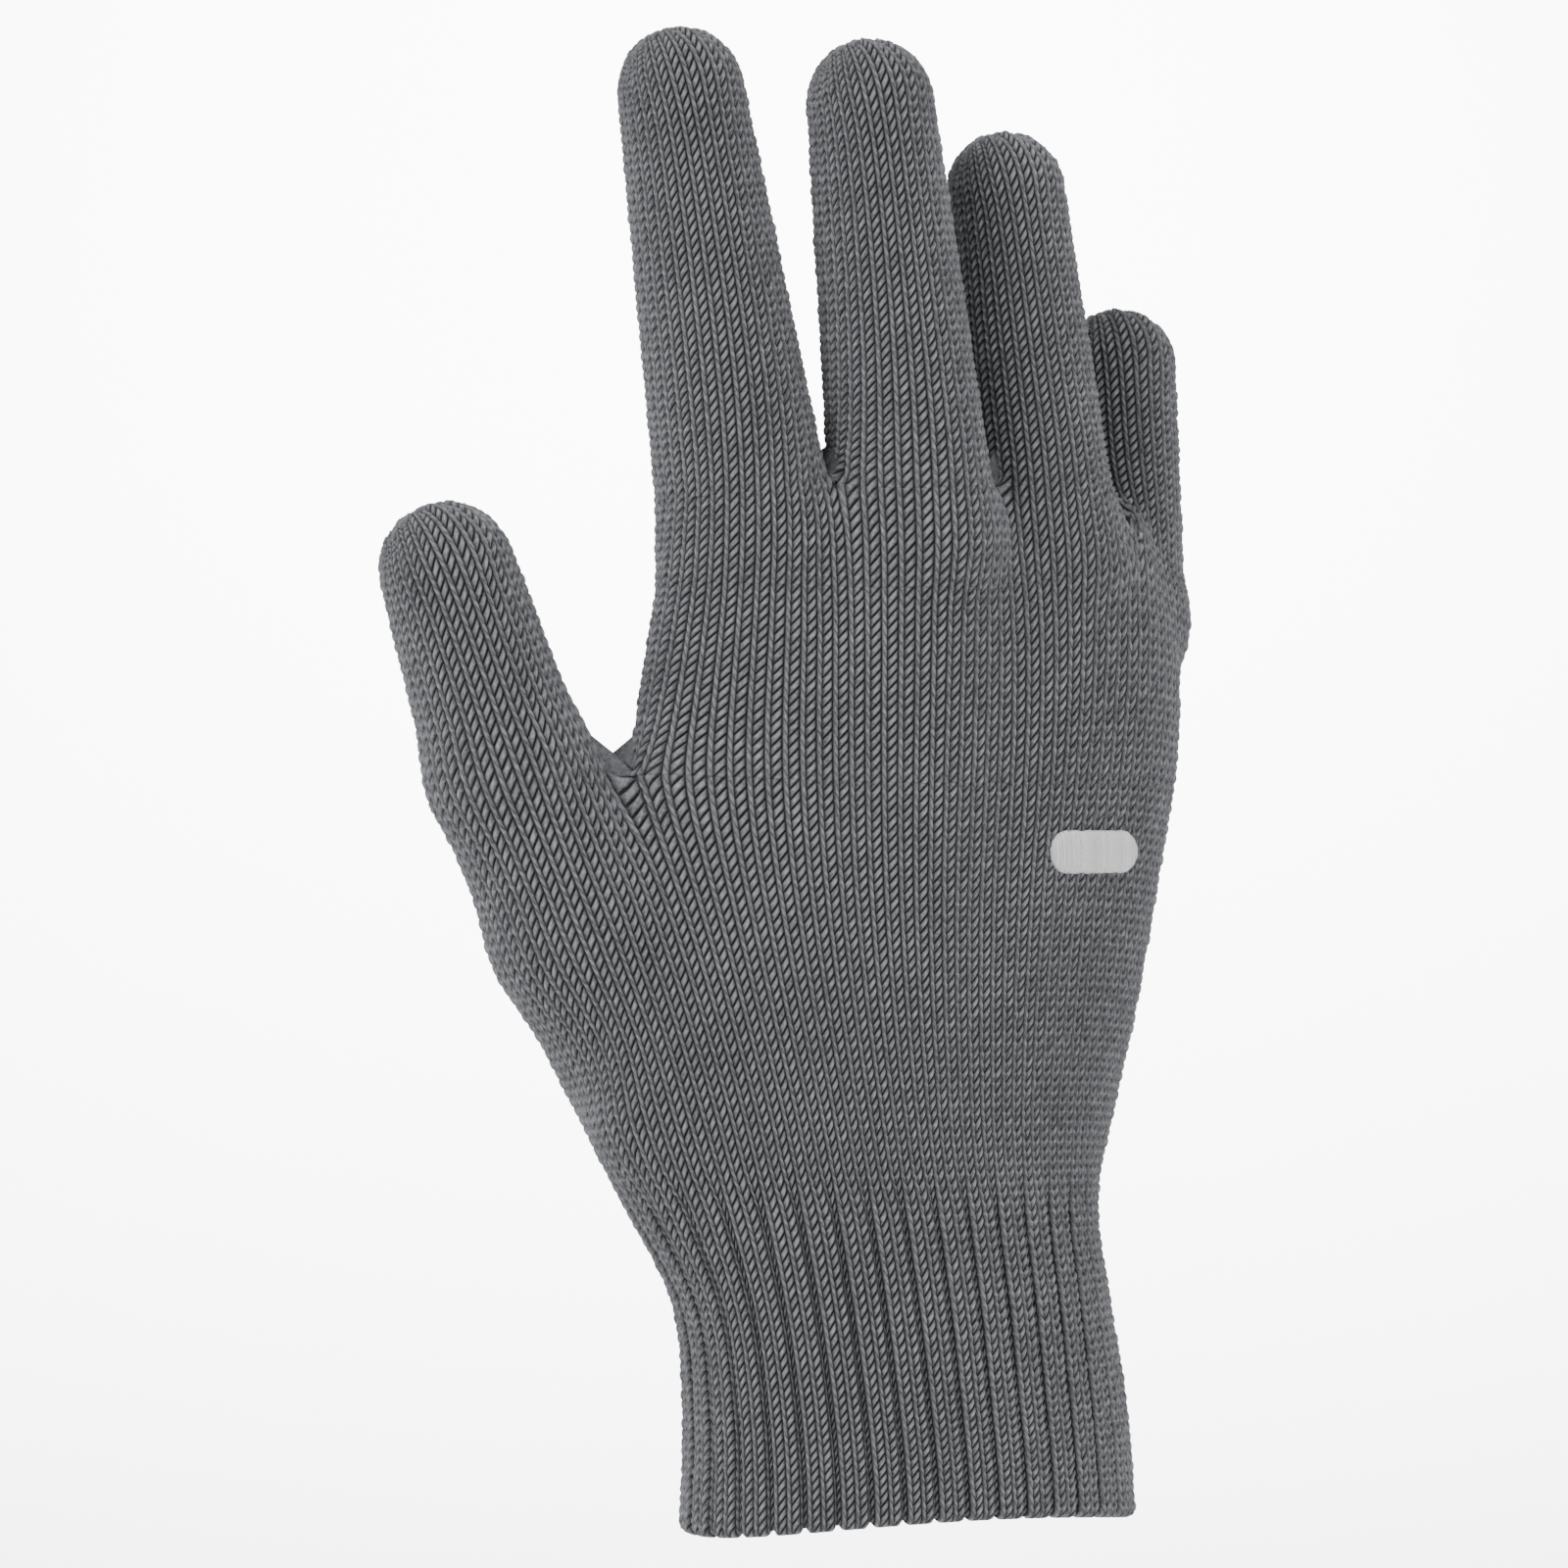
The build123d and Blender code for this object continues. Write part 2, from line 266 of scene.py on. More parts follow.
def knit_lower_palm():
    """The cuff and lower palm, and the thumb's crotch across the top of it."""
    rows = round(THUMB_ROW_Z / COURSE)
    wales = np.arange(CUFF_WALES)
    thumb = DIGITS["thumb"]
    tube = []
    for row in range(rows + 1):
        z = HEM_Z + row * THUMB_ROW_Z / rows
        # Higher up, the thumb's wales leave the oval, which closes behind them.
        gone = np.clip((z - GORE_Z) / (THUMB_ROW_Z - GORE_Z), 0, 1)
        run_share = (THUMB_RUN + (CROTCH - THUMB_RUN) * gone) / (CUFF_WALES + (CROTCH - THUMB_RUN) * gone)
        inside = (wales - THUMB_RUN / 2) / THUMB_RUN * run_share
        outside = run_share / 2 + (wales - THUMB_RUN) / (CUFF_WALES - THUMB_RUN) * (1 - run_share)
        ring = oval_ring(z, np.where(wales <= THUMB_RUN, inside, outside))
        around = math.pi + (wales - THUMB_RUN / 2) * 2 * math.pi / (THUMB_RUN + CROTCH)
        round_thumb = digit_ring(thumb, 0.0, thumb["radii"][0], around)
        round_thumb[:, 2] += z - THUMB_ROW_Z
        mix = np.where(wales <= THUMB_RUN, gone**2, 0)[:, None]
        tube.append(new_points(ring * (1 - mix) + round_thumb * mix))
    tube = np.array(tube)
    return tube, bridge(tube[-1][THUMB_RUN], tube[-1][0])


def knit_palm(first_row, z_low, z_high, turns, width):
    """A length of the palm above its first row; width is its share of the whole palm, kept at -X."""
    rows = round((z_high - z_low) / COURSE)
    tube = [first_row]
    for row in range(1, rows + 1):
        ring = oval_ring(z_low + row * (z_high - z_low) / rows, turns)
        edge = ring[:, 0].min()
        ring[:, 0] = edge + (ring[:, 0] - edge) * width
        tube.append(new_points(ring))
    return np.array(tube)


def bridge(a, b):
    """New points of a crotch's cast-on stitches, from point a to point b."""
    known = np.concatenate(POINTS)
    share = np.arange(1, CROTCH)[:, None] / CROTCH
    return new_points(known[a] * (1 - share) + known[b] * share)


def knit_digit(name, first_row, outer_side):
    """A digit's tube of stitch points from its first row to its tip, which is zipped side to side."""
    digit = DIGITS[name]
    count = len(first_row)
    radius = digit["radii"][1]
    known = np.concatenate(POINTS)
    start = float(np.mean((known[first_row] - digit["root"]) @ digit["along"]))
    straight = digit["length"] - start
    rows = round((straight + radius * DOME_ARC) / COURSE)
    angles = math.pi + (np.arange(count) - outer_side) * 2 * math.pi / count
    tube = [first_row]
    for row in range(1, rows):
        reach = row / rows * (straight + radius * DOME_ARC)
        lean = max(0.0, (reach - straight) / radius)
        share = min(1.0, (start + reach) / digit["length"])
        here = digit["radii"][0] + (radius - digit["radii"][0]) * share
        ring = digit_ring(digit, start + min(reach, straight) + radius * math.sin(lean),
                          here * math.cos(lean), angles)
        tube.append(new_points(ring))
    half = count // 2
    across = np.sin(np.linspace(-SEAM_SPAN, SEAM_SPAN, half + 1)) * radius
    seam = new_points([digit_ring(digit, digit["length"] + math.sqrt(radius**2 - x**2), abs(x),
                                  np.array([math.pi if x < 0 else 0.0]))[0] for x in across])
    SEAMS[name] = seam
    fold = np.abs((np.arange(count) - outer_side + half) % count - half)
    tube.append(seam[fold])
    return np.array(tube)


lower_palm, thumb_crotch = knit_lower_palm()
around = np.roll(lower_palm[-1], -THUMB_RUN)[:CUFF_WALES - THUMB_RUN + 1]
palm = knit_palm(np.concatenate([around, thumb_crotch[::-1]]), THUMB_ROW_Z, LITTLE_ROW_Z,
                 (np.arange(PALM_WALES) + CROTCH / 2) / PALM_WALES, 1.0)
# Wales are counted from the thumb's crotch across the back: where each finger's run begins.
back_1 = INDEX_RUN // 2 - CROTCH // 2
back_2 = back_1 + MIDDLE_RUN
back_3 = back_2 + RING_RUN
front_3 = back_3 + LITTLE_RUN
little_row = palm[-1]
little_crotch = bridge(little_row[back_3], little_row[front_3])
around = np.roll(little_row, -front_3)[:PALM_WALES - LITTLE_RUN + 1]
top_wales = PALM_WALES - LITTLE_RUN + CROTCH
middle_of_index = PALM_WALES - front_3 - CROTCH // 2
top_palm = knit_palm(np.concatenate([around, little_crotch]), LITTLE_ROW_Z, FINGER_ROW_Z,
                     (np.arange(top_wales) - middle_of_index) / top_wales, THREE_FINGER_SHARE)
top = top_palm[-1]
front_2, front_1 = RING_RUN, RING_RUN + MIDDLE_RUN
back_1, back_2 = front_1 + INDEX_RUN, front_1 + INDEX_RUN + MIDDLE_RUN
crotch_1 = bridge(top[back_1], top[front_1])
crotch_2 = bridge(top[back_2], top[front_2])
FIRST_ROWS = {
    "index": (np.concatenate([top[front_1:back_1 + 1], crotch_1]), INDEX_RUN // 2),
    "middle": (np.concatenate([top[back_1:back_2 + 1], crotch_2, top[front_2:front_1 + 1],
                               crotch_1[::-1]]), -CROTCH // 2),
    "ring": (np.concatenate([top[back_2:], top[:front_2 + 1], crotch_2[::-1]]), -CROTCH // 2),
    "little": (np.concatenate([little_row[back_3:front_3 + 1], little_crotch[::-1]]), -CROTCH // 2),
    "thumb": (np.concatenate([lower_palm[-1][:THUMB_RUN + 1], thumb_crotch]), THUMB_RUN // 2),
}
TUBES = {"lower_palm": lower_palm, "palm": palm, "top_palm": top_palm}
for name, (first_row, outer_side) in FIRST_ROWS.items():
    TUBES[name] = knit_digit(name, first_row, outer_side)


COURSE_PULL = 0.35        # knitting gives more along its courses than up its wales


def relax(points, rounds=90, momentum=0.88, pull=0.45):
    """Lets every stitch pull evenly on its neighbours, as knitting does over a form."""
    pairs = []
    for tube in TUBES.values():
        for a, b, firm in ((tube, np.roll(tube, -1, axis=1), 0), (tube[:-1], tube[1:], 1)):
            pairs.append(np.stack([a.ravel(), b.ravel(), np.full(a.size, firm)], 1))
    pairs = np.concatenate(pairs)
    pairs = np.unique(np.column_stack([np.sort(pairs[:, :2], axis=1), pairs[:, 2]]), axis=0)
    pairs = pairs[pairs[:, 0] != pairs[:, 1]]
    a, b = pairs[:, 0], pairs[:, 1]
    firm = np.where(pairs[:, 2] == 1, 1.0, COURSE_PULL)
    count = (np.bincount(a, firm, len(points)) + np.bincount(b, firm, len(points)))[:, None]
    hem = lower_palm[0]
    held = np.concatenate(list(SEAMS.values()))
    speed = np.zeros_like(points)
    for step in range(rounds):
        gap = (points[b] - points[a]) * firm[:, None]
        force = np.stack([np.bincount(a, gap[:, k], len(points)) - np.bincount(b, gap[:, k], len(points))
                          for k in range(3)], 1) / count
        speed = momentum * speed + pull * force
        speed[hem, 2] = 0
        speed[held] = 0
        points = points + speed
        if step % 3 == 2 or step == rounds - 1:
            normal = outward(points, 0.6)
            away = np.clip(form(points), -LONGEST_MOVE, LONGEST_MOVE)
            points = points - normal * away[:, None]
            speed -= normal * np.sum(normal * speed, axis=1)[:, None]
            points[hem, 2] = HEM_Z
    return settle(points)[0]


STITCHES = relax(settle(np.concatenate(POINTS), 8)[0])

# ------------------------------------------------------------------ yarn on the stitches
# Every stitch is a V of two legs. The left leg is narrow and steep, the right one is a plump grain.
LEFT_COLUMNS, RIGHT_COLUMNS = 3, 4
COLUMNS = LEFT_COLUMNS + RIGHT_COLUMNS
LEFT_SHARE = 0.34         # of the wale's width
ROWS = 5                  # mesh rows to a course
LEG_RISE = 1.15           # courses that a leg climbs from the V's foot to the wale's edge
LEG_HEIGHT = 0.84         # how far a leg stands out of the fabric
LEFT_FLOOR = 0.35         # the left legs run together into a cord, so their gaps are shallow
SUNK = 0.55               # the fabric's mean surface below the yarn's crown
FABRIC = 1.9              # thickness of the fabric
LINING_EVERY = 4 * ROWS   # mesh rows to a row of the inner side
RIB_REPEAT = 3            # two knit wales and one sunk wale
RIB_DEPTH = 0.55
RIB_SQUEEZE = 0.2         # how much wider a knit wale of the rib is, at the sunk wale's cost
RIB_FADES = (50.0, 60.0)  # heights where the rib turns to plain fabric
HEM_ARCH = 2.6            # the hem's middle is higher than its sides, back and palm
HEM_ARCH_TOP = 26.0
HEM_SCALLOP = 0.8
HEM_ROLL = 1.5            # radius of the rolled edge
RIB_SINKS, RIB_RISES = 1.8, 2.7     # wales into a repeat where it starts to sink and to rise
RIB_TURN = 0.6            # wales that the rib takes to sink or rise
RIB_MEAN = 1.35           # about the rib's mean height, which is taken out of it
LEG_START, LEG_SPAN = 0.05, 0.86    # of the half turn that a leg's round section makes
CROWN_POWER, GRAIN_POWER = 0.6, 0.7 # under 1 is fuller than a sine
UV_MARGIN = 0.01          # keeps a leg's U clear of the next leg's
LINING_UV = (0.2, 0.5)    # the lining has the yarn's mean tone
GATHER = 0.4              # how deep the fabric gathers at a digit's tip
GATHERED = 7              # courses
EASE = 2.0                # courses over which mesh rows turn from level to following the legs
chance = np.random.default_rng(11)


def smooth(t):
    t = np.clip(t, 0, 1)
    return t * t * (3 - 2 * t)


def leg_of(column):
    """For a mesh column's share of its wale: is it a left leg, and how near the V's middle."""
    left = column <= LEFT_COLUMNS
    near = np.where(left, column / LEFT_COLUMNS, (COLUMNS - column) / RIGHT_COLUMNS)
    return left, near


def yarn_height(level, column, wale, uneven):
    """How far the yarn stands out of the fabric at a level in courses and a column in its wale."""
    left, near = leg_of(column)
    turn = level - LEG_RISE * (1 - near)
    grain = np.sin(math.pi * (turn - np.floor(turn)))
    crown = np.sin(math.pi * (LEG_START + LEG_SPAN * near)) ** CROWN_POWER
    profile = np.where(left, LEFT_FLOOR + (1 - LEFT_FLOOR) * grain, grain**GRAIN_POWER)
    own = uneven[np.floor(turn).astype(int) % len(uneven), wale % uneven.shape[1]]
    return LEG_HEIGHT * own * crown * profile - SUNK


# No two stitches pull up quite alike: one share for each course and wale.
UNEVEN = np.clip(1 + chance.normal(0, 0.10, (160, 128)), 0.75, 1.25)


def rib_share(z):
    """1 where the fabric is ribbed, 0 where it is plain."""
    return 1 - smooth((z - RIB_FADES[0]) / (RIB_FADES[1] - RIB_FADES[0]))


def rib_height(z, across):
    """The rib: across counts wales, and every third one is sunk."""
    place = across % RIB_REPEAT
    start, sinks, rises = (smooth((place - at) / RIB_TURN) for at in (-RIB_TURN / 2, RIB_SINKS, RIB_RISES))
    return ((start - sinks + rises) * 2 - RIB_MEAN) * RIB_DEPTH * rib_share(z)


class Knit:
    """A tube of stitches turned into a fine mesh grid: the yarn's outer side and the inner side."""

    def __init__(self, tube, first_level, zipped=False, outer_side=0, ribbed=False):
        self.courses, self.wales = len(tube) - 1, tube.shape[1]
        self.zipped, self.outer_side = zipped, outer_side
        level = np.arange(self.courses * ROWS + 1)[:, None] / ROWS
        column = np.arange(self.wales * COLUMNS)[None, :]
        self.wale, self.column = column // COLUMNS, column % COLUMNS
        near = leg_of(self.column)[1]
        ease = smooth(level / EASE) * smooth((self.courses - level) / EASE)
        level = np.clip(level + LEG_RISE * (1 - near) * ease, 0, self.courses)
        level = np.maximum.accumulate(level, axis=0)
        self.level = level
        self.first_level = first_level
        points = self.stitches = STITCHES[tube]
        low = np.minimum(level.astype(int), self.courses - 1)
        up = (level - low)[..., None]
        steps = np.interp(self.column, (0, LEFT_COLUMNS, COLUMNS), (0, LEFT_SHARE, 1))
        across = even = self.wale + steps + 0 * level
        if ribbed:
            ribs = rib_share(points[low, self.wale, 2])
            squeeze = np.interp(across % RIB_REPEAT, (0, RIB_REPEAT - 1, RIB_REPEAT),
                                (0, RIB_SQUEEZE * (RIB_REPEAT - 1), 0))
            across = across + squeeze * ribs
        here = np.floor(across).astype(int)
        along = (across - here)[..., None]
        here, after = here % self.wales, (here + 1) % self.wales
        flat = ((points[low, here] * (1 - along) + points[low, after] * along) * (1 - up)
                + (points[low + 1, here] * (1 - along) + points[low + 1, after] * along) * up)
        base, normal = settle(flat.reshape(-1, 3), 1)
        height = yarn_height(level + first_level, self.column, self.wale, UNEVEN).ravel()
        if zipped:      # the last courses are drawn together, so the fabric gathers there
            gathered = smooth((level - self.courses + GATHERED) / GATHERED)
            height = height - GATHER * (gathered * np.cos(math.pi * across)).ravel()
        if ribbed:
            rib = rib_height(base[:, 2], even.ravel())
            height = height + rib
            z = base[:, 2].copy()
            rolled = np.clip(1 - z / HEM_ROLL, 0, 1)
            height -= HEM_ROLL * (1 - np.sqrt(np.clip(1 - rolled**2, 0, 1)))
            shape = outline_at(z)
            side = np.clip(np.abs(base[:, 0] - shape[:, 0]) / shape[:, 2], 0, 1)
            lift = HEM_ARCH * (1 - side**2) + HEM_SCALLOP * (1 - rib / RIB_DEPTH) / 2
            base[:, 2] += lift * (1 - smooth(z / HEM_ARCH_TOP))
        shape = level.shape + (3,)
        self.outer = (base + normal * height[:, None]).reshape(shape)
        inner_drop = FABRIC - (0.5 * rib if ribbed else 0)
        self.inner = (base - normal * np.reshape(inner_drop, (-1, 1))).reshape(shape)

    def flat(self, start, end, opened=1.0):
        """Width and length of the cloth between two levels, cut open, pulled smooth and laid flat."""
        points = self.stitches[int(start):math.ceil(end) + 1]
        round_it = np.linalg.norm(points - np.roll(points, 1, axis=1), axis=2).sum(axis=1).mean()
        round_it += 2 * math.pi * (LEG_HEIGHT - SUNK)
        return round_it * opened, np.linalg.norm(np.diff(points, axis=0), axis=2).mean() * (end - start)

    def piece(self, name, start, end):
        """The closed piece of fabric between two levels, in courses from the tube's first row."""
        first, last = round(start * ROWS), round(end * ROWS)
        across = self.wales * COLUMNS
        fine = np.arange(first, last + 1)
        coarse = np.unique(np.append(np.arange(first, last, LINING_EVERY), last))
        numbers = np.arange(len(fine) * across).reshape(len(fine), across)
        lining = len(fine) * across + np.arange(len(coarse) * across).reshape(len(coarse), across)
        closed_tip = self.zipped and last == self.courses * ROWS
        if closed_tip:
            half = across // 2
            side = self.outer_side * COLUMNS
            there = (np.arange(across) - side + half) % across - half
            mirror = (side - there) % across
            keep = np.where(there < 0, mirror, np.arange(across))
            numbers[-1] = numbers[-1][keep]
            lining[-1] = lining[-1][keep]
        points = np.concatenate([self.outer[fine].reshape(-1, 3), self.inner[coarse].reshape(-1, 3)])
        turn_right = np.roll(np.arange(across), -1)

        def quads(low, high):
            return np.stack([low, low[..., turn_right], high[..., turn_right], high], -1).reshape(-1, 4)

        outside = quads(numbers[:-1], numbers[1:])
        inside = quads(lining[:-1], lining[1:])[:, ::-1]
        hems = [quads(lining[0], numbers[0])]
        if not closed_tip:
            hems.append(quads(numbers[-1], lining[-1]))
        faces = np.concatenate([outside, inside] + hems)
        uv = self.yarn_uv(fine)
        spare = np.zeros((len(faces) - len(outside), 4, 2))
        spare[:] = LINING_UV
        return make_mesh(name, points, faces, np.concatenate([uv, spare]),
                         smooth_until=len(outside) + len(inside))

    def yarn_uv(self, fine):
        """U holds the place across the leg, which leg and which wale; V counts courses along it."""
        low, high = self.level[fine[:-1]], self.level[fine[1:]]
        wale = np.broadcast_to(self.wale, low.shape)
        column = np.broadcast_to(self.column, low.shape)
        left = column < LEFT_COLUMNS

        def near(c):
            return np.where(left, c / LEFT_COLUMNS, (COLUMNS - c) / RIGHT_COLUMNS)

        right = np.roll(np.arange(low.shape[1]), -1)
        spots = []
        for level, c in ((low, column), (low[:, right], column + 1), (high[:, right], column + 1),
                         (high, column)):
            x = near(c)
            turn = level + self.first_level - LEG_RISE * (1 - x)
            leg = x * (1 - 2 * UV_MARGIN) + UV_MARGIN + np.where(left, 0, 2)
            spots.append(np.stack([leg + 4 * wale, turn], -1))
        return np.stack(spots, 2).reshape(-1, 4, 2)


def placed(name, data):
    """An object that shows the data, in the scene."""
    thing = bpy.data.objects.new(name, data)
    bpy.context.scene.collection.objects.link(thing)
    return thing


def make_mesh(name, points, faces, uv=None, smooth_until=None):
    """A mesh object from points in millimetres and four-cornered faces, loose points left out."""
    used, faces_now = np.unique(faces, return_inverse=True)
    faces_now = faces_now.reshape(faces.shape)
    sides = faces_now.shape[1]
    mesh = bpy.data.meshes.new(name)
    mesh.vertices.add(len(used))
    mesh.vertices.foreach_set("co", (points[used] * MM).astype(np.float32).ravel())
    mesh.loops.add(faces_now.size)
    mesh.loops.foreach_set("vertex_index", faces_now.ravel().astype(np.int32))
    mesh.polygons.add(len(faces_now))
    mesh.polygons.foreach_set("loop_start", np.arange(0, faces_now.size, sides, dtype=np.int32))
    if uv is not None:
        layer = mesh.uv_layers.new(name="Yarn")
        layer.data.foreach_set("uv", uv.astype(np.float32).ravel())
    soft = np.arange(len(faces_now)) < (len(faces_now) if smooth_until is None else smooth_until)
    mesh.polygons.foreach_set("use_smooth", soft)
    mesh.update(calc_edges=True)
    mesh.validate(clean_customdata=False)
    return placed(name, mesh)


# ------------------------------------------------------------------ materials
def linear(code):
    """An sRGB hex colour as linear RGBA."""
    parts = [int(code[i:i + 2], 16) / 255 for i in (0, 2, 4)]
    return tuple(c / 12.92 if c <= 0.04045 else ((c + 0.055) / 1.055) ** 2.4 for c in parts) + (1.0,)


def add(material, kind, sockets=None, **settings):
    """Adds a node: settings are its own, sockets are its inputs' values or what feeds them."""
    tree = material.node_tree
    made = tree.nodes.new(kind)
    for key, value in settings.items():
        setattr(made, key, value)
    for key, value in (sockets or {}).items():
        if isinstance(value, bpy.types.NodeSocket):
            tree.links.new(value, made.inputs[key])
        else:
            made.inputs[key].default_value = value
    return made.outputs


def new_material(name, **settings):
    """A material with a Principled BSDF, whose own sockets take the settings."""
    material = bpy.data.materials.new(name)
    material.use_nodes = True
    surface = material.node_tree.nodes["Principled BSDF"]
    for key, value in settings.items():
        surface.inputs[key.replace("_", " ")].default_value = value
    return material


def paint(material, colour=None, roughness=None, bump=None, depth=0.1):
    """Feeds the surface's colour and roughness, and a bump of that depth in millimetres."""
    surface = material.node_tree.nodes["Principled BSDF"]
    for key, value in (("Base Color", colour), ("Roughness", roughness)):
        if value is not None:
            material.node_tree.links.new(value, surface.inputs[key])
    if bump is not None:
        normal = add(material, "ShaderNodeBump", {"Height": bump, "Distance": depth * MM})
        material.node_tree.links.new(normal[0], surface.inputs["Normal"])


FIBRES_ACROSS = 9.0       # fibre bundles across a leg
FIBRE_STRETCH = 1.3
FIBRE_SLANT = 2.2         # bundles that the fibres drift by from a leg's foot to its edge
STITCH_SHIFT = 40.0       # moves each stitch to fibres of its own
PATCH_SCALE = 55.0        # slow changes of tone, about 18 mm across
LINT_SCALE = 1900.0       # stray fibre ends, about half a millimetre
GAP_POWER, SIDE_POWER = 1.1, 0.95   # how fast the painted shade darkens the yarn off its crown
SHADE_START = 0.06        # of the half turn that the shading makes over a leg
# How strongly shade is painted into the gaps between legs, and into the rib's sunk wales.
GROOVE_SHADE = 1.4
RECESS_SHADE = 0.28
RECESS_AT, RECESS_EDGE = 2.45, 1.9  # the sunk wale's place in a repeat, and how sharply its painted shade sets in


def yarn_material(name, dark, light, painted_shade_colour, sheen):
    """Spun acrylic yarn: matt and hairy, so its edges stay soft and each leg shows its fibres."""
    material = new_material(name, Sheen_Weight=sheen, Sheen_Roughness=0.5, Specular_IOR_Level=0.25,
                            Sheen_Tint=linear("c9cad0"), Roughness=0.92)
    uv = add(material, "ShaderNodeUVMap", uv_map="Yarn")[0]
    split = add(material, "ShaderNodeSeparateXYZ", {0: uv})

    def maths(operation, a, b=0.0):
        return add(material, "ShaderNodeMath", {0: a, 1: b}, operation=operation)[0]

    u, v = split[0], split[1]
    leg = maths("FLOOR", maths("MULTIPLY", u, 0.5))
    near = maths("MULTIPLY", maths("FRACT", maths("MULTIPLY", u, 0.5)), 2.0)
    right = maths("MULTIPLY", maths("FRACT", maths("MULTIPLY", leg, 0.5)), 2.0)
    turn = maths("FLOOR", v)
    place = maths("FRACT", v)
    crown = maths("SINE", maths("MULTIPLY", place, math.pi))
    rise = maths("MULTIPLY", maths("ADD", maths("MULTIPLY", near, LEG_SPAN), SHADE_START), math.pi)
    rise = maths("SINE", rise)
    own = add(material, "ShaderNodeCombineXYZ", {0: leg, 1: turn, 2: 0.0})[0]
    stitch = add(material, "ShaderNodeTexWhiteNoise", {"Vector": own}, noise_dimensions="3D")
    shift = maths("MULTIPLY", stitch[0], STITCH_SHIFT)
    strands = add(material, "ShaderNodeCombineXYZ", {
        0: maths("ADD", maths("MULTIPLY", near, FIBRE_STRETCH), shift),
        1: maths("ADD", maths("MULTIPLY", place, FIBRES_ACROSS), maths("MULTIPLY", near, FIBRE_SLANT)),
        2: leg})[0]
    fibre = add(material, "ShaderNodeTexNoise", {"Vector": strands, "Scale": 1.6, "Detail": 3.0,
                                                 "Roughness": 0.6})[0]
    where = add(material, "ShaderNodeTexCoord")["Object"]
    patches = add(material, "ShaderNodeTexNoise", {"Vector": where, "Scale": PATCH_SCALE, "Detail": 2.0})[0]
    lint = add(material, "ShaderNodeTexNoise", {"Vector": where, "Scale": LINT_SCALE, "Detail": 2.0})[0]
    # Strength of the shade painted into the rib's sunk wales, fading out above the rib.
    ribbed = add(material, "ShaderNodeMapRange", {
        0: add(material, "ShaderNodeSeparateXYZ", {0: where})[2],
        1: RIB_FADES[1] * MM, 2: RIB_FADES[0] * MM, 3: 0.0, 4: RECESS_SHADE})[0]
    # Painted shade: the yarn is darkened off its crown and where legs meet, so it reads lightest on its
    # crown; the left legs' painted gaps are shallow.
    gap = maths("SUBTRACT", 1.0, crown)
    gap = maths("MULTIPLY", maths("POWER", gap, GAP_POWER), maths("ADD", maths("MULTIPLY", right, 0.5), 0.5))
    side = maths("POWER", maths("SUBTRACT", 1.0, rise), SIDE_POWER)
    shade = maths("MAXIMUM", gap, side)
    # Little light reaches the rib's sunk wales.
    wale = maths("MULTIPLY", maths("FRACT", maths("MULTIPLY", u, 0.25 / RIB_REPEAT)), RIB_REPEAT)
    recess = maths("MULTIPLY", maths("ABSOLUTE", maths("SUBTRACT", wale, RECESS_AT)), RECESS_EDGE)
    recess = maths("SUBTRACT", 1.0, recess)
    light_share = maths("SUBTRACT", maths("ADD", maths("MULTIPLY", fibre, 1.3),
                                          maths("MULTIPLY", patches, 0.3)), 0.35)
    light_share = maths("ADD", light_share, maths("MULTIPLY", maths("SUBTRACT", stitch[0], 0.5), 0.16))
    light_share = maths("ADD", light_share, maths("MULTIPLY", maths("SUBTRACT", lint, 0.5), 0.9))
    colour = add(material, "ShaderNodeMix", {"Factor": light_share, 6: linear(dark), 7: linear(light)},
                 data_type="RGBA")[2]
    recess = maths("MULTIPLY", maths("MAXIMUM", recess, 0.0), ribbed)
    shade = maths("ADD", maths("MULTIPLY", shade, GROOVE_SHADE), recess)
    colour = add(material, "ShaderNodeMix", {"Factor": maths("MINIMUM", shade, 1.0), 6: colour,
                                             7: linear(painted_shade_colour)}, data_type="RGBA")[2]
    bump = maths("ADD", maths("MULTIPLY", fibre, 1.0), maths("MULTIPLY", lint, 0.35))
    paint(material, colour=colour, bump=bump, depth=0.3)
    return material


# The third colour of each yarn is the painted shade between its legs.
knit_yarn = yarn_material("spun_acrylic_stockinette", "4a4c4f", "cccdd2", "0b0c0d", 0.35)
# The rib's copy of the same yarn is painted a little lighter, a painted lift against the rib's deeper shade.
rib_yarn = yarn_material("spun_acrylic_rib", "505255", "cecfd3", "0f1011", 0.3)


def thread_material(name, dark, light, pitch, roughness, sheen, depth):
    """Fine thread or cloth whose U map is in millimetres across the threads."""
    material = new_material(name, Sheen_Weight=sheen, Specular_IOR_Level=0.4, Roughness=roughness)
    uv = add(material, "ShaderNodeUVMap", uv_map="Yarn")[0]
    scaled = add(material, "ShaderNodeMapping", {"Vector": uv, "Scale": (1 / pitch, 1 / pitch, 1)})[0]
    split = add(material, "ShaderNodeSeparateXYZ", {0: scaled})
    thread = add(material, "ShaderNodeMath", {0: split[0]}, operation="FLOOR")[0]
    own = add(material, "ShaderNodeTexWhiteNoise", {"W": thread}, noise_dimensions="1D")[0]
    streak = add(material, "ShaderNodeTexNoise", {"Vector": scaled, "Scale": 3.0, "Detail": 3.0})[0]
    share = add(material, "ShaderNodeMath", {0: own, 1: 0.3, 2: streak}, operation="MULTIPLY_ADD")[0]
    colour = add(material, "ShaderNodeMix", {"Factor": share, 6: linear(dark), 7: linear(light)},
                 data_type="RGBA")[2]
    rough = add(material, "ShaderNodeMapRange", {0: streak, 3: roughness - 0.08, 4: roughness + 0.1})[0]
    paint(material, colour=colour, roughness=rough, bump=streak, depth=depth)
    return material


